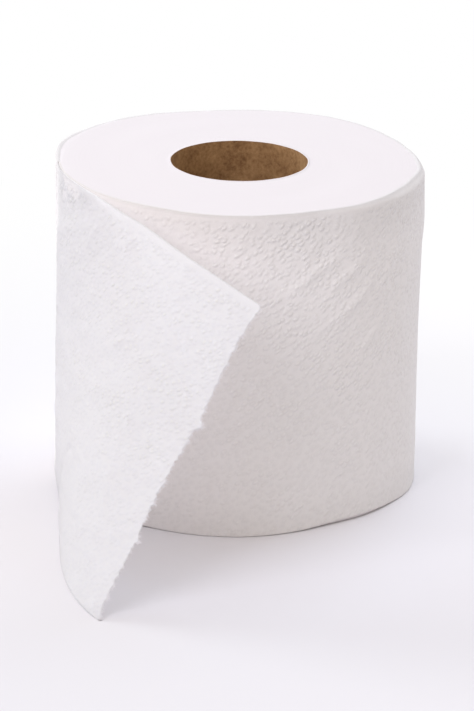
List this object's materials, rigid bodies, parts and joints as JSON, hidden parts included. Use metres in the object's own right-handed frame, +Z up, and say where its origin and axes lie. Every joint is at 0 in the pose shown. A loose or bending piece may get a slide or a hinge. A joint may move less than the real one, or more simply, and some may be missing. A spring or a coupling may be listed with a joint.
{
  "type": "toilet paper roll",
  "caption": "Toilet paper roll standing on end, a cardboard tube wound with tissue, its last sheet peeled off and hanging in front to the floor with a torn edge.",
  "frame": {"origin": "on the roll's axis, at its lower end face, which rests on the floor", "axes": "+Z up along the roll's axis; -Y towards the front, where the peeled-off tail hangs; the tail leaves the roll at its -X side"},
  "size_m": [0.112, 0.1796, 0.1016],
  "materials": {
    "cardboard": "matt brown kraft board, unprinted",
    "tissue": "soft white tissue, embossed all over with small diagonal dashes"
  },
  "bodies": {
    "root": {"cardboard_core": "cardboard", "tissue_paper": "tissue"}
  },
  "joints": []
}
